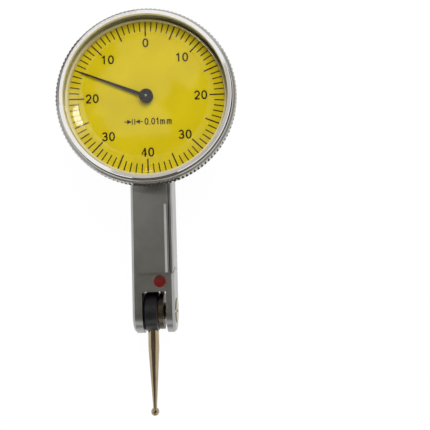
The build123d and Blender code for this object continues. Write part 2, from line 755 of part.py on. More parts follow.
# Crown wheel: its teeth stand on its face and point along the arbor
with BuildPart() as crown_wheel:
    with BuildSketch(Plane.YZ.offset(crown_root_x)):
        with Locations((dial_y, crown_z)):
            Circle(crown_radius + crown_face_width / 2)
            Circle(arbor_diameter / 2 + press_gap, mode=Mode.SUBTRACT)
            web_width = crown_radius - crown_face_width / 2 - crown_hub_diameter / 2
            with PolarLocations((crown_hub_diameter + web_width) / 2, crown_hole_count):
                Circle(web_width / 2 - crown_hole_margin, mode=Mode.SUBTRACT)
    extrude(amount=-crown_thickness)
    with BuildSketch(Plane.YZ.offset(crown_root_x)):
        with Locations((dial_y, crown_z)):
            with PolarLocations(crown_radius, crown_teeth, start_angle=90 + 180 / crown_teeth):
                Rectangle(crown_face_width, math.pi * crown_module * crown_tooth_share)
    extrude(amount=(1 + tooth_foot) * crown_module)
save(crown_wheel, "crown_wheel")

with BuildPart() as left_jewel:
    with Locations(Plane(origin=(cavity_x - jewel_length, dial_y, crown_z), z_dir=(1, 0, 0))):
        add(jewel(jewel_diameter, arbor_journal_diameter, jewel_length, arbor_journal_length))
save(left_jewel, "left_jewel")

with BuildPart() as right_jewel:
    with Locations(Plane(origin=(cover_x - jewel_boss_height + jewel_length, dial_y, crown_z),
                         z_dir=(-1, 0, 0))):
        add(jewel(jewel_diameter, arbor_journal_diameter, jewel_length, arbor_journal_length))
save(right_jewel, "right_jewel")

# Cock over the arbor, with the lower jewel of the pointer arbor
with BuildPart() as cock:
    cock_length = bay_end_y - running_gap / 2 - dial_y + cock_overhang
    with BuildSketch(Plane.XY.offset(cock_z)):
        with Locations((cock_screw_x, dial_y - cock_overhang + cock_length / 2)):
            Rectangle(cock_width, cock_length)
        with Locations((0, dial_y)):
            Circle(cock_boss_diameter / 2)
            Circle(lower_jewel_diameter / 2 + press_gap, mode=Mode.SUBTRACT)
        with Locations((cock_screw_x, cock_screw_y)):
            Circle(small_screw_diameter / 2 + journal_gap, mode=Mode.SUBTRACT)
    extrude(amount=cock_thickness)
save(cock, "cock")

with BuildPart() as cock_screw:
    with Locations((cock_screw_x, cock_screw_y, cock_top_z)):
        add(slotted_screw(small_screw_head, small_screw_head_height, small_screw_diameter, cock_screw_length))
save(cock_screw, "cock_screw")

with BuildPart() as lower_jewel:
    with Locations((0, dial_y, cock_z)):
        add(jewel(lower_jewel_diameter, pointer_journal_diameter, cock_thickness, arbor_journal_length))
save(lower_jewel, "lower_jewel")

# Bridge across the case, with the upper jewel
with BuildPart() as bridge:
    foot = bridge_half - bridge_foot_length
    with BuildSketch(Plane.XZ.offset(-dial_y - bridge_width / 2)):
        Polygon((-bridge_half, case_floor_z), (-foot, case_floor_z), (-foot, bridge_z), (foot, bridge_z),
                (foot, case_floor_z), (bridge_half, case_floor_z), (bridge_half, bridge_top_z),
                (-bridge_half, bridge_top_z), align=None)
    extrude(amount=bridge_width)
    with BuildSketch(Plane.XY.offset(case_floor_z)):
        with Locations((0, dial_y)):
            Circle(upper_jewel_diameter / 2 + press_gap)
        with Locations(*bridge_screw_places):
            Circle(small_screw_diameter / 2 + journal_gap)
    extrude(amount=bridge_lift + bridge_thickness, mode=Mode.SUBTRACT)
save(bridge, "bridge")

with BuildPart() as bridge_screws:
    with Locations(*[(x, y, bridge_top_z) for x, y in bridge_screw_places]):
        add(slotted_screw(small_screw_head, small_screw_head_height, small_screw_diameter,
                          bridge_lift + bridge_thickness + bridge_screw_grip))
save(bridge_screws, "bridge_screws")

with BuildPart() as upper_jewel:
    with Locations((0, dial_y, bridge_z)):
        add(jewel(upper_jewel_diameter, pointer_shaft_diameter, bridge_thickness, bridge_thickness))
save(upper_jewel, "upper_jewel")

# Pointer arbor with its pinion, from the cock through the bridge to the pointer's hub
pointer_foot_z = cock_top_z + running_gap / 2
pointer_top_z = pointer_z + pointer_hub_height
with BuildPart() as pointer_arbor:
    with Locations((0, dial_y, 0)):
        tip = pointer_journal_diameter / 2
        thick = pointer_arbor_diameter / 2
        thin = pointer_shaft_diameter / 2
        add(turned([(0, pointer_foot_z - arbor_journal_length + running_gap / 2),
                    (tip, pointer_foot_z - arbor_journal_length + running_gap / 2), (tip, pointer_foot_z),
                    (thick, pointer_foot_z), (thick, bridge_z - running_gap), (thin, bridge_z - running_gap),
                    (thin, pointer_top_z), (0, pointer_top_z)]))
    add(gear_disc(Plane(origin=(0, dial_y, mesh_z - pointer_pinion_length / 2)), crown_module,
                  pointer_pinion_teeth, pointer_pinion_length, 0))
save(pointer_arbor, "pointer_arbor")

# Hairspring: flat spiral of half circles, its collet on the arbor and its stud on the bridge
with BuildPart() as hairspring:
    spiral_start = collet_diameter / 2 + journal_gap
    spiral_step = (hairspring_outer_radius - spiral_start) / hairspring_half_turns
    with BuildSketch(Plane(origin=(0, dial_y, hairspring_z))):
        with BuildLine():
            for offset_radius in (0, hairspring_strip):
                for turn in range(hairspring_half_turns):
                    side = 1 if turn % 2 == 0 else -1
                    near = spiral_start + offset_radius + turn * spiral_step
                    far = near + spiral_step
                    middle = side * (near - far) / 2
                    ThreePointArc((side * near, 0), (middle, side * (near + far) / 2), (-side * far, 0))
            Line((spiral_start, 0), (spiral_start + hairspring_strip, 0))
            Line((hairspring_outer_radius, 0), (hairspring_outer_radius + hairspring_strip, 0))
        make_face()
    extrude(amount=hairspring_height)
save(hairspring, "hairspring")

with BuildPart() as hairspring_collet:
    with BuildSketch(Plane(origin=(0, dial_y, hairspring_z))):
        Circle(collet_diameter / 2)
        Circle(pointer_shaft_diameter / 2 + press_gap, mode=Mode.SUBTRACT)
    extrude(amount=collet_height)
save(hairspring_collet, "hairspring_collet")

with BuildPart() as hairspring_stud:
    stud_x = hairspring_outer_radius + hairspring_strip + stud_diameter / 2
    with BuildSketch(Plane(origin=(stud_x, dial_y, bridge_top_z))):
        Circle(stud_diameter / 2)
    extrude(amount=hairspring_lift + collet_height)
save(hairspring_stud, "hairspring_stud")

# Pointer: tapered blade and round hub
pointer_angle = 90 + 360 * pointer_rest_divisions / dial_divisions
with BuildPart() as pointer:
    hub = pointer_hub_diameter / 2
    hub_bore = pointer_shaft_diameter / 2 + press_gap
    with Locations((0, dial_y, pointer_z)):
        add(turned([(hub_bore, 0), (hub, 0), (hub, pointer_hub_height - pointer_hub_edge),
                    (hub - pointer_hub_edge, pointer_hub_height), (hub_bore, pointer_hub_height)]))
    blade_direction = (math.cos(math.radians(pointer_angle)), math.sin(math.radians(pointer_angle)), 0)
    with BuildSketch(Plane(origin=(0, dial_y, pointer_z), x_dir=blade_direction, z_dir=(0, 0, 1))):
        pointer_length = lip_radius - pointer_end_gap
        Polygon((hub / 2, -pointer_root_width / 2), (pointer_length, -pointer_tip_width / 2),
                (pointer_length, pointer_tip_width / 2), (hub / 2, pointer_root_width / 2), align=None)
    extrude(amount=pointer_thickness)
save(pointer, "pointer")

# Bezel: knurled flange on a narrower skirt, stepped front ring, crystal seat and the wire's groove
with BuildPart() as bezel:
    flange_low_z = flange_z - flange_height
    skirt_outer = skirt_radius + skirt_wall
    knurl_low_z = flange_low_z + knurl_edge
    knurl_high_z = flange_z - knurl_edge
    groove = case_diameter / 2 + wire_width / 2 + wire_gap
    with BuildSketch(Plane.XZ):
        with BuildLine():
            Polyline((skirt_radius, bezel_foot_z), (skirt_outer, bezel_foot_z),
                     (skirt_outer, flange_low_z - flange_slope), (rim_radius - knurl_edge, flange_low_z),
                     (rim_radius, knurl_low_z), (rim_radius, knurl_high_z),
                     (rim_radius - knurl_edge, flange_z), (ring_radius + ring_shoulder, flange_z))
            RadiusArc((ring_radius + ring_shoulder, flange_z), (ring_radius, flange_z + ring_shoulder),
                      -ring_shoulder)
            Polyline((ring_radius, flange_z + ring_shoulder), (ring_radius, ring_top_z - ring_edge),
                     (ring_radius - ring_edge, ring_top_z), (seat_radius, ring_top_z),
                     (seat_radius, lip_top_z), (lip_radius, lip_top_z), (lip_radius, face_z),
                     (skirt_radius, face_z), (skirt_radius, wire_high_z + wire_gap),
                     (groove, wire_high_z + wire_gap), (groove, wire_low_z - wire_gap),
                     (skirt_radius, wire_low_z - wire_gap), (skirt_radius, bezel_foot_z))
        make_face()
    revolve(axis=Axis.Z)
    with BuildSketch(Plane.XY.offset(knurl_low_z)):
        with PolarLocations(rim_radius, knurl_count):
            RegularPolygon(knurl_depth, 4)
    extrude(amount=flange_height, mode=Mode.SUBTRACT)
bezel.part.position = (0, dial_y, 0)
save(bezel, "bezel")

# Flat spring ring, split, half in the case's groove and half in the bezel's
with BuildPart() as retaining_wire:
    with BuildSketch(Plane.XZ.offset(-dial_y)):
        with Locations((case_diameter / 2, (wire_low_z + wire_high_z) / 2)):
            Rectangle(wire_width, wire_width)
    revolve(axis=Axis((0, dial_y, 0), (0, 0, 1)), revolution_arc=360 - wire_split_angle)
save(retaining_wire, "retaining_wire")

# Dial plate, the ring that holds it up against the lip, the crystal and its gasket
with BuildPart() as dial_plate:
    with BuildSketch(Plane(origin=(0, dial_y, dial_z))):
        Circle(skirt_radius - press_gap)
        Circle(dial_hole_diameter / 2, mode=Mode.SUBTRACT)
    extrude(amount=dial_thickness)
save(dial_plate, "dial_plate")

with BuildPart() as dial_retainer:
    with BuildSketch(Plane(origin=(0, dial_y, retainer_z))):
        Circle(skirt_radius - press_gap)
        Circle(skirt_radius - retainer_width, mode=Mode.SUBTRACT)
    extrude(amount=dial_retainer_height)
save(dial_retainer, "dial_retainer")

crystal_radius = seat_radius - gasket_width
with BuildPart() as crystal_gasket:
    with BuildSketch(Plane(origin=(0, dial_y, lip_top_z))):
        Circle(seat_radius - press_gap)
        Circle(crystal_radius, mode=Mode.SUBTRACT)
    extrude(amount=crystal_rim_height)
save(crystal_gasket, "crystal_gasket")

with BuildPart() as crystal:
    edge = crystal_radius - press_gap
    flat = edge - crystal_dome_width
    shoulder_z = lip_top_z + crystal_rim_height
    with BuildSketch(Plane.XZ):
        with BuildLine():
            Line((0, flat_z - crystal_thickness), (0, flat_z))
            Line((0, flat_z), (flat, flat_z))
            TangentArc((flat, flat_z), (edge, shoulder_z), tangent=(1, 0))
            Polyline((edge, shoulder_z), (edge, lip_top_z), (edge - crystal_thickness, lip_top_z),
                     (flat, flat_z - crystal_thickness), (0, flat_z - crystal_thickness))
        make_face()
    revolve(axis=Axis.Z)
crystal.part.position = (0, dial_y, 0)
save(crystal, "crystal")
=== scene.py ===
import json
import math

import bpy
from mathutils import Matrix, Vector


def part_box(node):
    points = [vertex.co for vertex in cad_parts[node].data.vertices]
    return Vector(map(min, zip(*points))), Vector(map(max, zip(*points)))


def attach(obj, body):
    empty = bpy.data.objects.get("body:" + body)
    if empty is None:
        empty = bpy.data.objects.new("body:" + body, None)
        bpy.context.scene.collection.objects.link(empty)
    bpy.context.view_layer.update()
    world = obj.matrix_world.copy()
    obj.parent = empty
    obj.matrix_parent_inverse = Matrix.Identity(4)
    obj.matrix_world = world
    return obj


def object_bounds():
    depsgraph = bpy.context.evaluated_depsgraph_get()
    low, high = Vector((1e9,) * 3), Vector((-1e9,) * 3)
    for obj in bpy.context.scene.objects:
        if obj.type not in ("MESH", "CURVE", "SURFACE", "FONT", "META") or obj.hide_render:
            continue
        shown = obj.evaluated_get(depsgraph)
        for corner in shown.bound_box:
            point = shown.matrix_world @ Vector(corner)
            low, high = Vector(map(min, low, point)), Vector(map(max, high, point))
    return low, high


# Dial test indicator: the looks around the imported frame, in metres.
# +Y runs along the arm to the dial, +Z out through the crystal.

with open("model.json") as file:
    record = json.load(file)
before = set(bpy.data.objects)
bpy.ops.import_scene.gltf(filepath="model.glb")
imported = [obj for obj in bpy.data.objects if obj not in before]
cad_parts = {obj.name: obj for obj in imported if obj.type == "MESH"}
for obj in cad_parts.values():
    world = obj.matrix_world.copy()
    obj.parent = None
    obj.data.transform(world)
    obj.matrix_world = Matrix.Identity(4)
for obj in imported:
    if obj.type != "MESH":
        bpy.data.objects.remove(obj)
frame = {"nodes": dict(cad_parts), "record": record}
cad_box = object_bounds()
MM = 0.001

# Camera, at the photograph's place above the arm
camera_place = (14.45 * MM, -4.84 * MM, 114.1 * MM)
camera_aim = (13.21 * MM, 4.48 * MM, 10.8 * MM)
camera_roll = math.radians(1.87)
camera_lens = 41.86
camera_sensor = 36.0

# Print on the dial
numeral_height = 1.88 * MM
numeral_places = [("0", 0, 11.5), ("10", 7.45, 8.15), ("20", 11.13, 0), ("30", 7.7, -8.1), ("40", 0, -11.55),
                  ("30", -7.95, -8.05), ("20", -11.2, 0), ("10", -7.95, 8.15)]
division_count = 80
divisions_per_long = 5
tick_outer_radius = 16.0 * MM
tick_inner_radius = 13.95 * MM
long_tick_inner_radius = 12.9 * MM
tick_width = 0.24 * MM
long_tick_width = 0.29 * MM
print_thickness = 0.01 * MM
letter_weight = 0.17
unit_text = "0.01mm"
unit_height = 1.42 * MM
unit_squeeze = 0.835
unit_place = (2.38 * MM, -5.15 * MM)
sign_place = (-2.78 * MM, -5.15 * MM)
sign_half_gap = 0.16 * MM
sign_bar_height = 1.2 * MM
sign_line = 0.2 * MM
sign_arrow_length = 0.95 * MM
sign_arrow_height = 1.0 * MM
sign_tail = 0.62 * MM

# Radii inside which the bezel's walls are dull and carry a painted reflection of the yellow dial, and
# outside which its flange carries a grey painted shade, as shares of the bezel's width
painted_wall_reflection_share = 0.4506
painted_flange_shade_share = 0.4712

# Light and floor
world_light = 0.9
floor_half = 0.9
floor_gap = 0.02 * MM
floor_white = 0.97
card_height = 230 * MM
card_step = 2 * MM
dark_disc_radius = 15.6 * MM
disc_sides = 48
arm_card_half = 0.05
seal_glint_outline = [(-0.6, -0.1), (1.0, 0.0), (1.1, 0.5), (-0.5, 0.4)]
glare_outline = [(-5.2, 11.3), (-2.6, 11.2), (-0.8, 12.2), (4.7, 13.3), (9.6, 12.2), (12.4, 6.6),
                 (10.3, 1.2), (9.0, 0.2), (6.6, 2.2), (5.4, 2.2), (5.1, -0.6), (2.6, -2.3), (4.8, -4.6),
                 (5.1, -8.6), (-5.8, -8.7), (-8.1, -6.4), (-8.6, -4.3), (-10.6, -4.1), (-9.1, -0.6),
                 (-10.2, 1.7), (-8.6, 4.2), (-4.9, 7.7), (-5.9, 10.2)]

# Cards over the arm: front and back edge as mirrored in the arm's top, colour, strength
arm_cards = [
    ("card_over_fork", -0.09, 0.001, (1, 0.9, 0.76), 0.18),
    ("card_over_relief", 0.001, 0.0106, (0.97, 1, 0.97), 0.36),
]

# Cards round the dial: inner and outer radius, start and end in degrees, colour, strength
ring_cards = [
    ("card_behind_dial", 0.075, 0.32, -150, 170, (1, 0.97, 0.9), 0.08),
    ("card_flange_back", 0.0572, 0.074, 95, 160, (1, 0.8, 0.7), 0.16),
    ("card_flange_left", 0.0572, 0.074, 160, 235, (0.95, 1, 0.97), 0.6),
    ("card_flange_front", 0.0572, 0.074, 235, 300, (1, 0.9, 0.75), 0.1),
    ("card_flange_right", 0.0572, 0.074, -60, 30, (1, 0.98, 0.92), 0.45),
    ("card_ring_front", 0.049, 0.057, -115, 20, (1, 0.97, 0.93), 0.62),
]

# Upright and lying cards: middle of one edge, that edge, way to the other edge, colour, strength
flags = [
    ("flag_front", (0, -0.3, 0.002), (0.25, 0, 0), (0, -0.02, 0.1), (1, 0.8, 0.65), 0.12),
    ("flag_left", (-0.03, 0.14, 0.002), (0, 0.2, 0), (-0.2, 0, 0), (1, 0.85, 0.75), 0.15),
    ("glare_left", (-0.095, 0.082, 0.22), (0.007, -0.022, 0), (-0.04, -0.008, 0.004), (1, 0.96, 0.85), 14.0),
]

# Lamps: place, aim, size, radiance
lamps = [
    ("lamp_window", (0.12, 0.33, 0.44), (0, 0.02, 0), (0.34, 0.28), 7.8),
    ("lamp_fill", (0.3, -0.05, 0.3), (0, 0, 0), (0.2, 0.3), 0.8),
]

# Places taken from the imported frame
dial_low, dial_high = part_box("dial_plate")
dial_centre = Vector(((dial_low.x + dial_high.x) / 2, (dial_low.y + dial_high.y) / 2, dial_high.z))


# Camera
def add_camera():
    """Camera that looks from its place at its aim, turned by its roll."""
    data = bpy.data.cameras.new("camera")
    data.lens = camera_lens
    data.sensor_width = camera_sensor
    data.clip_start = 1 * MM
    camera = bpy.data.objects.new("camera", data)
    bpy.context.scene.collection.objects.link(camera)
    back = (Vector(camera_place) - Vector(camera_aim)).normalized()
    up = Vector((math.sin(camera_roll), math.cos(camera_roll), 0))
    right = up.cross(back).normalized()
    up = back.cross(right)
    turn = Matrix((right, up, back)).transposed()
    camera.matrix_world = Matrix.Translation(camera_place) @ turn.to_4x4()
    bpy.context.scene.camera = camera


# Material helpers
def node_at(tree, kind, **values):
    """New node of a kind, with properties set by name."""
    node = tree.nodes.new(kind)
    for name, value in values.items():
        setattr(node, name, value)
    return node


def empty_material(name):
    """Material with an output node alone."""
    material = bpy.data.materials.new(name)
    material.use_nodes = True
    material.node_tree.nodes.clear()
    output = material.node_tree.nodes.new("ShaderNodeOutputMaterial")
    return material, material.node_tree, output


def noise(tree, size, stretch=(1, 1, 1), detail=3.0, seed=0.0):
    """Noise whose features are about as large as size, in metres, drawn out by stretch."""
    where = node_at(tree, "ShaderNodeTexCoord")
    mapping = node_at(tree, "ShaderNodeMapping")
    mapping.inputs["Scale"].default_value = [1 / (size * s) for s in stretch]
    mapping.inputs["Location"].default_value = (seed, seed * 1.7, seed * 0.6)
    grain = node_at(tree, "ShaderNodeTexNoise")
    grain.inputs["Scale"].default_value = 1.0
    grain.inputs["Detail"].default_value = detail
    grain.inputs["Roughness"].default_value = 0.55
    tree.links.new(where.outputs["Object"], mapping.inputs["Vector"])
    tree.links.new(mapping.outputs["Vector"], grain.inputs["Vector"])
    return grain.outputs["Fac"]


def ramp(tree, factor, low, high):
    """Colour from low to high as factor goes over the noise's middle."""
    node = node_at(tree, "ShaderNodeValToRGB")
    node.color_ramp.elements[0].position = 0.3
    node.color_ramp.elements[0].color = (*low, 1)
    node.color_ramp.elements[1].position = 0.7
    node.color_ramp.elements[1].color = (*high, 1)
    tree.links.new(factor, node.inputs["Fac"])
    return node.outputs["Color"]


def span(tree, factor, low, high):
    """Number from low to high as factor goes over the noise's middle."""
    node = node_at(tree, "ShaderNodeMapRange")
    node.inputs["From Min"].default_value = 0.25
    node.inputs["From Max"].default_value = 0.75
    node.inputs["To Min"].default_value = low
    node.inputs["To Max"].default_value = high
    tree.links.new(factor, node.inputs["Value"])
    return node.outputs["Result"]


def bumps(tree, height, depth):
    """Bump of a depth in metres from a height between 0 and 1."""
    node = node_at(tree, "ShaderNodeBump")
    node.inputs["Distance"].default_value = depth
    node.inputs["Strength"].default_value = 1.0
    tree.links.new(height, node.inputs["Height"])
    return node.outputs["Normal"]


def finish_surface(name, colours, metal, roughness, blotch, grain, depth, stretch=(1, 1, 1), **sockets):
    """Material with blotches between two colours, grain in its roughness and a fine bump."""
    material, tree, output = empty_material(name)
    shader = node_at(tree, "ShaderNodeBsdfPrincipled")
    shader.inputs["Metallic"].default_value = metal
    for socket, value in sockets.items():
        shader.inputs[socket.replace("_", " ")].default_value = value
    wide = noise(tree, blotch, detail=2.0)
    fine = noise(tree, grain, stretch=stretch, seed=3.1)
    tree.links.new(ramp(tree, wide, *colours), shader.inputs["Base Color"])
    tree.links.new(span(tree, fine, *roughness), shader.inputs["Roughness"])
    tree.links.new(bumps(tree, fine, depth), shader.inputs["Normal"])
    tree.links.new(shader.outputs["BSDF"], output.inputs["Surface"])
    return material


# Materials, one function each
def satin_chrome():
    """Pearl satin plating: matt grey with a fine blasted grain."""
    return finish_surface("satin_chrome", ((0.35, 0.35, 0.34), (0.41, 0.41, 0.4)), 1.0, (0.28, 0.38),
                          4 * MM, 0.12 * MM, 0.003 * MM)


def bright_chrome():
    """Bright plating with faint turning marks, dull inside the ring with a yellow-olive painted reflection
    of the dial there, and a greyer painted shade on the knurled flange.
    """
    material, tree, output = empty_material("bright_chrome")
    shader = node_at(tree, "ShaderNodeBsdfPrincipled")
    where = node_at(tree, "ShaderNodeTexCoord")
    flat = node_at(tree, "ShaderNodeVectorMath", operation="MULTIPLY_ADD")
    flat.inputs[1].default_value = (1, 1, 0)
    flat.inputs[2].default_value = (-0.5, -0.5, 0)
    radius = node_at(tree, "ShaderNodeVectorMath", operation="LENGTH")
    inside = node_at(tree, "ShaderNodeMath", operation="LESS_THAN")
    inside.inputs[1].default_value = painted_wall_reflection_share
    tree.links.new(where.outputs["Generated"], flat.inputs[0])
    tree.links.new(flat.outputs["Vector"], radius.inputs[0])
    tree.links.new(radius.outputs["Value"], inside.inputs[0])
    wide = ramp(tree, noise(tree, 3 * MM, detail=2.0), (0.84, 0.82, 0.81), (0.9, 0.88, 0.87))
    colour = node_at(tree, "ShaderNodeMix", data_type="RGBA")
    # Inside the ring: yellow-olive base colour, a painted reflection of the yellow dial on the inner walls
    colour.inputs[7].default_value = (0.75, 0.69, 0.42, 1)
    tree.links.new(inside.outputs["Value"], colour.inputs[0])
    tree.links.new(wide, colour.inputs[6])
    outside = node_at(tree, "ShaderNodeMath", operation="GREATER_THAN")
    outside.inputs[1].default_value = painted_flange_shade_share
    tree.links.new(radius.outputs["Value"], outside.inputs[0])
    grey = node_at(tree, "ShaderNodeMix", data_type="RGBA")
    # On the knurled flange: greyer base colour, a painted shade
    grey.inputs[7].default_value = (0.44, 0.43, 0.4, 1)
    tree.links.new(outside.outputs["Value"], grey.inputs[0])
    tree.links.new(colour.outputs[2], grey.inputs[6])
    tree.links.new(grey.outputs[2], shader.inputs["Base Color"])
    fine = noise(tree, 0.3 * MM, seed=3.1)
    gloss = node_at(tree, "ShaderNodeMath", operation="MULTIPLY_ADD")
    gloss.inputs[1].default_value = 0.35
    tree.links.new(inside.outputs["Value"], gloss.inputs[0])
    tree.links.new(span(tree, fine, 0.03, 0.07), gloss.inputs[2])
    tree.links.new(gloss.outputs["Value"], shader.inputs["Roughness"])
    metal = node_at(tree, "ShaderNodeMath", operation="SUBTRACT")
    metal.inputs[0].default_value = 1.0
    tree.links.new(inside.outputs["Value"], metal.inputs[1])
    tree.links.new(metal.outputs["Value"], shader.inputs["Metallic"])
    tree.links.new(bumps(tree, fine, 0.001 * MM), shader.inputs["Normal"])
    tree.links.new(shader.outputs["BSDF"], output.inputs["Surface"])
    return material


def gilt_steel():
    """Polished brass-coloured screw."""
    return finish_surface("gilt_steel", ((0.19, 0.15, 0.075), (0.28, 0.23, 0.12)), 1.0, (0.14, 0.3),
                          1 * MM, 0.15 * MM, 0.002 * MM)


def screw_steel():
    """Turned screw steel."""
    return finish_surface("screw_steel", ((0.38, 0.38, 0.38), (0.5, 0.5, 0.5)), 1.0, (0.2, 0.35),
                          1 * MM, 0.12 * MM, 0.002 * MM)


def red_lacquer():
    """Sealing lacquer: deep red, glossy and slightly wavy."""
    return finish_surface("red_lacquer", ((0.07, 0.001, 0.001), (0.13, 0.003, 0.002)), 0.0, (0.12, 0.25),
                          0.8 * MM, 0.45 * MM, 0.02 * MM, Coat_Weight=0.4, Coat_Roughness=0.05)


def jewel():
    """Synthetic ruby."""
    return finish_surface("jewel", ((0.45, 0.01, 0.06), (0.6, 0.02, 0.1)), 0.0, (0.05, 0.12),
                          0.5 * MM, 0.2 * MM, 0.0005 * MM, IOR=1.76)


def movement_brass():
    """Gilded movement parts with a fine straight grain."""
    return finish_surface("movement_brass", ((0.6, 0.45, 0.2), (0.7, 0.55, 0.28)), 1.0, (0.25, 0.4),
                          2 * MM, 0.1 * MM, 0.003 * MM, stretch=(8, 1, 1))


def hardened_steel():
    """Ground steel pins and arbors."""
    return finish_surface("hardened_steel", ((0.3, 0.3, 0.31), (0.4, 0.4, 0.41)), 1.0, (0.2, 0.35),
                          1 * MM, 0.08 * MM, 0.001 * MM)


def spring_alloy():
    """Pale hairspring alloy."""
    return finish_surface("spring_alloy", ((0.55, 0.55, 0.56), (0.65, 0.65, 0.66)), 1.0, (0.2, 0.3),
                          1 * MM, 0.08 * MM, 0.0005 * MM)


def lever_nickel():
    """Brownish plated lever and hub disc, turned on its face."""
    return finish_surface("lever_nickel", ((0.1, 0.085, 0.065), (0.15, 0.125, 0.1)), 1.0, (0.25, 0.42),
                          1.5 * MM, 0.1 * MM, 0.003 * MM)


def clutch_bronze():
    """Bronze washer."""
    return finish_surface("clutch_bronze", ((0.3, 0.2, 0.1), (0.38, 0.26, 0.14)), 1.0, (0.3, 0.45),
                          1 * MM, 0.1 * MM, 0.003 * MM)


def black_holder():
    """Blackened drum with turning marks round its rim."""
    return finish_surface("black_holder", ((0.003, 0.003, 0.004), (0.007, 0.007, 0.009)), 0.0, (0.3, 0.45),
                          1.5 * MM, 0.09 * MM, 0.006 * MM, stretch=(1, 30, 30), Coat_Weight=0.1)


def polished_steel():
    """Polished stylus, turned: fine rings round its length."""
    return finish_surface("polished_steel", ((0.33, 0.26, 0.165), (0.42, 0.345, 0.23)), 1.0, (0.1, 0.22),
                          2 * MM, 0.06 * MM, 0.0008 * MM, stretch=(20, 1, 20))


def pointer_black():
    """Black painted pointer."""
    return finish_surface("pointer_black", ((0.01, 0.01, 0.011), (0.016, 0.016, 0.017)), 0.0, (0.4, 0.6),
                          1 * MM, 0.1 * MM, 0.002 * MM, Specular_IOR_Level=0.05)


def dial_yellow():
    """Yellow dial enamel, slightly uneven."""
    return finish_surface("dial_yellow", ((0.54, 0.415, 0.002), (0.595, 0.465, 0.004)), 0.0, (0.55, 0.7),
                          6 * MM, 0.2 * MM, 0.001 * MM, Specular_IOR_Level=0.03)


def gasket():
    """Plastic seal whose dark olive colour is painted shade with a painted reflection of the yellow dial."""
    return finish_surface("gasket", ((0.2, 0.18, 0.08), (0.25, 0.23, 0.11)), 0.0, (0.5, 0.7),
                          1 * MM, 0.1 * MM, 0.004 * MM)


def dial_ink():
    """Dark brown-black print."""
    return finish_surface("dial_ink", ((0.008, 0.006, 0.004), (0.014, 0.011, 0.008)), 0.0, (0.5, 0.7),
                          1 * MM, 0.1 * MM, 0.0005 * MM, Specular_IOR_Level=0.05)


def crystal():
    """Clear acrylic, thin and hardly bending the view, that lets the lamps through to the dial."""
    material, tree, output = empty_material("crystal")
    shader = node_at(tree, "ShaderNodeBsdfPrincipled")
    shader.inputs["Base Color"].default_value = (0.985, 0.99, 0.985, 1)
    shader.inputs["Transmission Weight"].default_value = 1.0
    shader.inputs["IOR"].default_value = 1.03
    shader.inputs["Coat Weight"].default_value = 1.0
    shader.inputs["Coat Roughness"].default_value = 0.07
    fine = noise(tree, 6 * MM, detail=1.0)
    tree.links.new(span(tree, fine, 0.0, 0.02), shader.inputs["Roughness"])
    clear = node_at(tree, "ShaderNodeBsdfTransparent")
    path = node_at(tree, "ShaderNodeLightPath")
    mix = node_at(tree, "ShaderNodeMixShader")
    tree.links.new(path.outputs["Is Shadow Ray"], mix.inputs["Fac"])
    tree.links.new(shader.outputs["BSDF"], mix.inputs[1])
    tree.links.new(clear.outputs["BSDF"], mix.inputs[2])
    tree.links.new(mix.outputs["Shader"], output.inputs["Surface"])
    return material


SLOTS = {
    "satin_chrome": satin_chrome,
    "bright_chrome": bright_chrome,
    "gilt_steel": gilt_steel,
    "screw_steel": screw_steel,
    "red_lacquer": red_lacquer,
    "jewel": jewel,
    "movement_brass": movement_brass,
    "hardened_steel": hardened_steel,
    "spring_alloy": spring_alloy,
    "lever_nickel": lever_nickel,
    "clutch_bronze": clutch_bronze,
    "black_holder": black_holder,
    "polished_steel": polished_steel,
    "pointer_black": pointer_black,
    "dial_yellow": dial_yellow,
    "gasket": gasket,
    "crystal": crystal,
}


def dress_nodes():
    """Give each CAD node the material of its slot in the record."""
    made = {name: make() for name, make in SLOTS.items()}
    for part in frame["record"]["subparts"]:
        node = frame["nodes"][part["node"]]
        if not node.data.materials:
            node.data.materials.append(None)
        for place in node.material_slots:
            place.link = "OBJECT"
            place.material = made[part["material_slot"]]


# Print on the dial
def mesh_piece(name, vertices, faces, material, body, slot):
    """New mesh object of the object's own, riding on a body."""
    mesh = bpy.data.meshes.new(name)
    mesh.from_pydata(vertices, [], faces)
    mesh.materials.append(material)
    piece = bpy.data.objects.new(name, mesh)
    bpy.context.scene.collection.objects.link(piece)
    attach(piece, body)
    return piece


def plate(outline, floor, thickness):
    """Vertices and faces of a flat plate over an outline that runs counter-clockwise."""
    count = len(outline)
    vertices = [(x, y, floor) for x, y in outline]
    vertices += [(x, y, floor + thickness) for x, y in outline]
    faces = [tuple(reversed(range(count))), tuple(range(count, 2 * count))]
    for i in range(count):
        j = (i + 1) % count
        faces.append((i, j, count + j, count + i))
    return vertices, faces


def joined(plates):
    """Vertices and faces of several plates together."""
    vertices, faces = [], []
    for some_vertices, some_faces in plates:
        start = len(vertices)
        vertices += some_vertices
        faces += [tuple(start + i for i in face) for face in some_faces]
    return vertices, faces


def on_dial(x, y, angle=0.0):
    """Point (x, y) about the dial's centre, turned by an angle."""
    turned_x = x * math.cos(angle) - y * math.sin(angle)
    turned_y = x * math.sin(angle) + y * math.cos(angle)
    return (dial_centre.x + turned_x, dial_centre.y + turned_y)


def bar(left, right, low, high, angle=0.0):
    """Flat printed bar between two corners about the dial's centre."""
    corners = [(left, low), (right, low), (right, high), (left, high)]
    return plate([on_dial(x, y, angle) for x, y in corners], dial_centre.z, print_thickness)


def add_graduation(ink):
    """The 80 divisions, every fifth one long."""
    plates = []
    for i in range(division_count):
        angle = 2 * math.pi * i / division_count
        long_one = i % divisions_per_long == 0
        inner = long_tick_inner_radius if long_one else tick_inner_radius
        half = (long_tick_width if long_one else tick_width) / 2
        plates.append(bar(-half, half, inner, tick_outer_radius, angle))
    mesh_piece("dial_graduation", *joined(plates), ink, "bezel_ring", "pointer_black")


def arc(x, y, radius_x, radius_y, start, end, count=12):
    """Points of an arc of an ellipse, angles in degrees."""
    points = []
    for i in range(count + 1):
        angle = math.radians(start + (end - start) * i / count)
        points.append((x + radius_x * math.cos(angle), y + radius_y * math.sin(angle)))
    return points


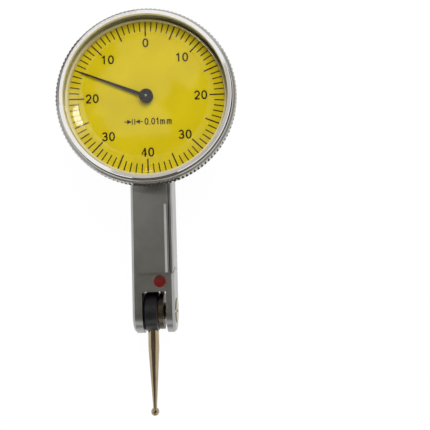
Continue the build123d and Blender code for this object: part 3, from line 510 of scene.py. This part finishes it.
def arch(x):
    """Arch and right stem of a small m that springs from a stem at x."""
    return [(x, 0.42), (x + 0.03, 0.55), (x + 0.1, 0.64), (x + 0.2, 0.66), (x + 0.29, 0.61), (x + 0.33, 0.5),
            (x + 0.33, 0)]


# Each sign: how far the next one stands, and the middle lines of its strokes, for a height of 1
SIGNS = {
    "0": (0.77, [arc(0.38, 0.5, 0.25, 0.435, 90, 450, 28)]),
    "1": (0.77, [[(0.42, 0), (0.42, 1)], [(0.42, 0.95), (0.35, 0.84), (0.26, 0.78), (0.16, 0.75)]]),
    "2": (0.77, [arc(0.37, 0.67, 0.235, 0.265, 175, -35) + [(0.36, 0.29), (0.2, 0.16), (0.13, 0.065)],
                 [(0.1, 0.065), (0.64, 0.065)]]),
    "3": (0.77, [arc(0.36, 0.715, 0.21, 0.22, 165, -80) + [(0.3, 0.51)],
                 [(0.3, 0.51)] + arc(0.37, 0.3, 0.245, 0.235, 85, -165)]),
    "4": (0.77, [[(0.5, 0), (0.5, 0.97)], [(0.52, 0.95), (0.13, 0.3), (0.68, 0.3)]]),
    ".": (0.38, [[(0.19, 0), (0.19, 0.13)]]),
    "m": (1.14, [[(0.13, 0), (0.13, 0.72)], arch(0.13), arch(0.46)]),
}


def stroke(points, width, floor, thickness):
    """Vertices and faces of a flat ribbon along a line of points."""
    vertices = []
    for i, (x, y) in enumerate(points):
        before = points[max(i - 1, 0)]
        after = points[min(i + 1, len(points) - 1)]
        along = Vector((after[0] - before[0], after[1] - before[1])).normalized()
        side = Vector((-along.y, along.x)) * width / 2
        for level in (floor, floor + thickness):
            vertices.append((x + side.x, y + side.y, level))
            vertices.append((x - side.x, y - side.y, level))
    faces = [(0, 1, 3, 2)]
    for i in range(len(points) - 1):
        low_left, low_right, high_left, high_right = range(4 * i, 4 * i + 4)
        faces.append((high_left, high_right, high_right + 4, high_left + 4))
        faces.append((low_right, low_left, low_left + 4, low_right + 4))
        faces.append((low_left, high_left, high_left + 4, low_left + 4))
        faces.append((high_right, low_right, low_right + 4, high_right + 4))
    last = 4 * (len(points) - 1)
    faces.append((last + 1, last, last + 2, last + 3))
    return vertices, faces


def add_text(name, text, height, place, ink, squeeze=1.0):
    """Printed text, centred on a place about the dial's centre, and narrower by a squeeze."""
    wide = height * squeeze
    pen = place[0] - sum(SIGNS[sign][0] for sign in text) * wide / 2
    ribbons = []
    for sign in text:
        step, lines = SIGNS[sign]
        for line in lines:
            points = [on_dial(pen + x * wide, place[1] + (y - 0.5) * height) for x, y in line]
            ribbons.append(stroke(points, letter_weight * height, dial_centre.z, print_thickness))
        pen += step * wide
    mesh_piece(name, *joined(ribbons), ink, "bezel_ring", "pointer_black")


def add_numerals(ink):
    """Numerals 0 to 40 down both sides, upright."""
    for i, (text, x, y) in enumerate(numeral_places):
        add_text(f"dial_numeral_{i}", text, numeral_height, (x * MM, y * MM), ink)


def add_division_sign(ink):
    """Two arrows that point at the two bars of one division."""
    x, y = sign_place
    plates = []
    for side in (-1, 1):
        near = x + side * sign_half_gap
        far = near + side * sign_line
        plates.append(bar(min(near, far), max(near, far), y - sign_bar_height / 2, y + sign_bar_height / 2))
        foot = far + side * sign_arrow_length
        rise = side * sign_arrow_height / 2
        outline = [on_dial(far, y), on_dial(foot, y - rise), on_dial(foot, y + rise)]
        plates.append(plate(outline, dial_centre.z, print_thickness))
        end = foot + side * sign_tail
        plates.append(bar(min(foot, end), max(foot, end), y - sign_line / 2, y + sign_line / 2))
    mesh_piece("dial_division_sign", *joined(plates), ink, "bezel_ring", "pointer_black")


# Floor, lamps and background
def add_floor():
    """Pale floor that the indicator lies on."""
    level = cad_box[0][2] - floor_gap
    corners = [(-floor_half, -floor_half, level), (floor_half, -floor_half, level),
               (floor_half, floor_half, level), (-floor_half, floor_half, level)]
    mesh = bpy.data.meshes.new("floor")
    mesh.from_pydata(corners, [], [(0, 1, 2, 3)])
    floor = bpy.data.objects.new("floor", mesh)
    bpy.context.scene.collection.objects.link(floor)
    material, tree, output = empty_material("floor_paper")
    diffuse = node_at(tree, "ShaderNodeBsdfDiffuse")
    paper = noise(tree, 20 * MM)
    tree.links.new(ramp(tree, paper, (0.93, 0.93, 0.93), (0.96, 0.96, 0.96)), diffuse.inputs["Color"])
    glow = node_at(tree, "ShaderNodeEmission")
    glow.inputs["Strength"].default_value = 1.0
    mix = node_at(tree, "ShaderNodeMixShader")
    tree.links.new(seen_directly(tree, floor_white), mix.inputs["Fac"])
    tree.links.new(diffuse.outputs["BSDF"], mix.inputs[1])
    tree.links.new(glow.outputs["Emission"], mix.inputs[2])
    tree.links.new(mix.outputs["Shader"], output.inputs["Surface"])
    mesh.materials.append(material)


def mirrored(x, y, level):
    """Point at the cards' height that the camera sees mirrored in a flat top at a level, at (x, y)."""
    reach = (card_height - level) / (camera_place[2] - level)
    return (x + (x - camera_place[0]) * reach, y + (y - camera_place[1]) * reach)


def add_card(name, corners, colour, strength):
    """Card of the studio, which only gloss and the inside of the glass mirror."""
    mesh = bpy.data.meshes.new(name)
    mesh.from_pydata(corners, [], [tuple(range(len(corners)))])
    card = bpy.data.objects.new(name, mesh)
    bpy.context.scene.collection.objects.link(card)
    material, tree, output = empty_material(name + "_cloth")
    glow = node_at(tree, "ShaderNodeEmission")
    folds = noise(tree, 60 * MM, detail=1.0)
    tree.links.new(ramp(tree, folds, [0.8 * c for c in colour], colour), glow.inputs["Color"])
    glow.inputs["Strength"].default_value = strength
    tree.links.new(glow.outputs["Emission"], output.inputs["Surface"])
    mesh.materials.append(material)
    card.visible_camera = False
    card.visible_diffuse = False
    card.visible_volume_scatter = False
    card.visible_shadow = False


def round_point(centre, radius, angle, height):
    """Point on a level circle round a centre, angle in radians."""
    return (centre[0] + radius * math.cos(angle), centre[1] + radius * math.sin(angle), height)


def add_cards():
    """Cards that the crystal, the ring, the flange, the arm and the seal mirror."""
    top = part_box("crystal")[1].z
    middle = mirrored(dial_centre.x, dial_centre.y, top)
    reach = (card_height - top) / (camera_place[2] - top) + 1
    disc = [round_point(middle, dark_disc_radius * reach, 2 * math.pi * i / disc_sides, card_height)
            for i in range(disc_sides)]
    add_card("card_over_dial", disc, (1, 0.97, 0.9), 0.06)
    patch = []
    for x, y in glare_outline:
        spot = mirrored(dial_centre.x + x * MM, dial_centre.y + y * MM, top)
        patch.append((*spot, card_height - card_step))
    add_card("card_patch", patch, (1, 0.93, 0.8), 0.68)
    for name, inner, outer, start, end, colour, strength in ring_cards:
        corners = []
        for radius, angles in ((inner, range(start, end + 1, 5)), (outer, range(end, start - 1, -5))):
            for angle in angles:
                corners.append(round_point(middle, radius, math.radians(angle), card_height + card_step))
        add_card(name, corners, colour, strength)
    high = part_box("body_frame")[1]
    for name, front, back, colour, strength in arm_cards:
        corners = [(-arm_card_half, front), (arm_card_half, front), (arm_card_half, back),
                   (-arm_card_half, back)]
        add_card(name, [(*mirrored(x, y, high.z), card_height) for x, y in corners], colour, strength)
    seal_low, seal_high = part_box("red_seal")
    seal_size = seal_high - seal_low
    glint = []
    for x, y in seal_glint_outline:
        spot = mirrored(seal_low.x + x * seal_size.x, seal_low.y + y * seal_size.y, seal_high.z)
        glint.append((*spot, card_height - card_step))
    add_card("card_over_seal", glint, (1, 1, 1), 6.0)
    for name, place, along, height, colour, strength in flags:
        start, end = Vector(place) - Vector(along) / 2, Vector(place) + Vector(along) / 2
        rise = Vector(height)
        add_card(name, [start, end, end + rise, start + rise], colour, strength)


def seen_directly(tree, share):
    """Share for rays from the camera, by itself or in metal and glass, and 0 for light."""
    path = node_at(tree, "ShaderNodeLightPath")
    last = path.outputs["Is Camera Ray"]
    for name in ("Is Glossy Ray", "Is Transmission Ray"):
        both = node_at(tree, "ShaderNodeMath", operation="MAXIMUM")
        tree.links.new(last, both.inputs[0])
        tree.links.new(path.outputs[name], both.inputs[1])
        last = both.outputs["Value"]
    part = node_at(tree, "ShaderNodeMath", operation="MULTIPLY")
    part.inputs[1].default_value = share
    tree.links.new(last, part.inputs[0])
    return part.outputs["Value"]


def add_world():
    """White background, and a soft even light."""
    world = bpy.data.worlds.new("studio")
    bpy.context.scene.world = world
    world.use_nodes = True
    tree = world.node_tree
    tree.nodes.clear()
    output = node_at(tree, "ShaderNodeOutputWorld")
    background = node_at(tree, "ShaderNodeBackground")
    background.inputs["Color"].default_value = (1, 1, 1, 1)
    light = node_at(tree, "ShaderNodeMath", operation="MULTIPLY_ADD")
    light.inputs[1].default_value = 1 - world_light
    light.inputs[2].default_value = world_light
    tree.links.new(seen_directly(tree, 1.0), light.inputs[0])
    tree.links.new(light.outputs["Value"], background.inputs["Strength"])
    tree.links.new(background.outputs["Background"], output.inputs["Surface"])


def add_lamp(name, place, aim, size, radiance):
    """Soft lamp of a size in metres that sends a radiance towards its aim."""
    data = bpy.data.lights.new(name, "AREA")
    data.shape = "RECTANGLE"
    data.size, data.size_y = size
    data.energy = radiance * math.pi * size[0] * size[1]
    lamp = bpy.data.objects.new(name, data)
    lamp.location = place
    lamp.rotation_euler = (Vector(aim) - Vector(place)).to_track_quat("-Z", "Y").to_euler()
    lamp.visible_glossy = False
    bpy.context.scene.collection.objects.link(lamp)


bpy.context.scene.view_settings.view_transform = "Standard"
add_camera()
dress_nodes()
ink = dial_ink()
add_graduation(ink)
add_numerals(ink)
add_text("dial_unit", unit_text, unit_height, unit_place, ink, unit_squeeze)
add_division_sign(ink)
add_floor()
add_world()
add_cards()
for lamp in lamps:
    add_lamp(*lamp)
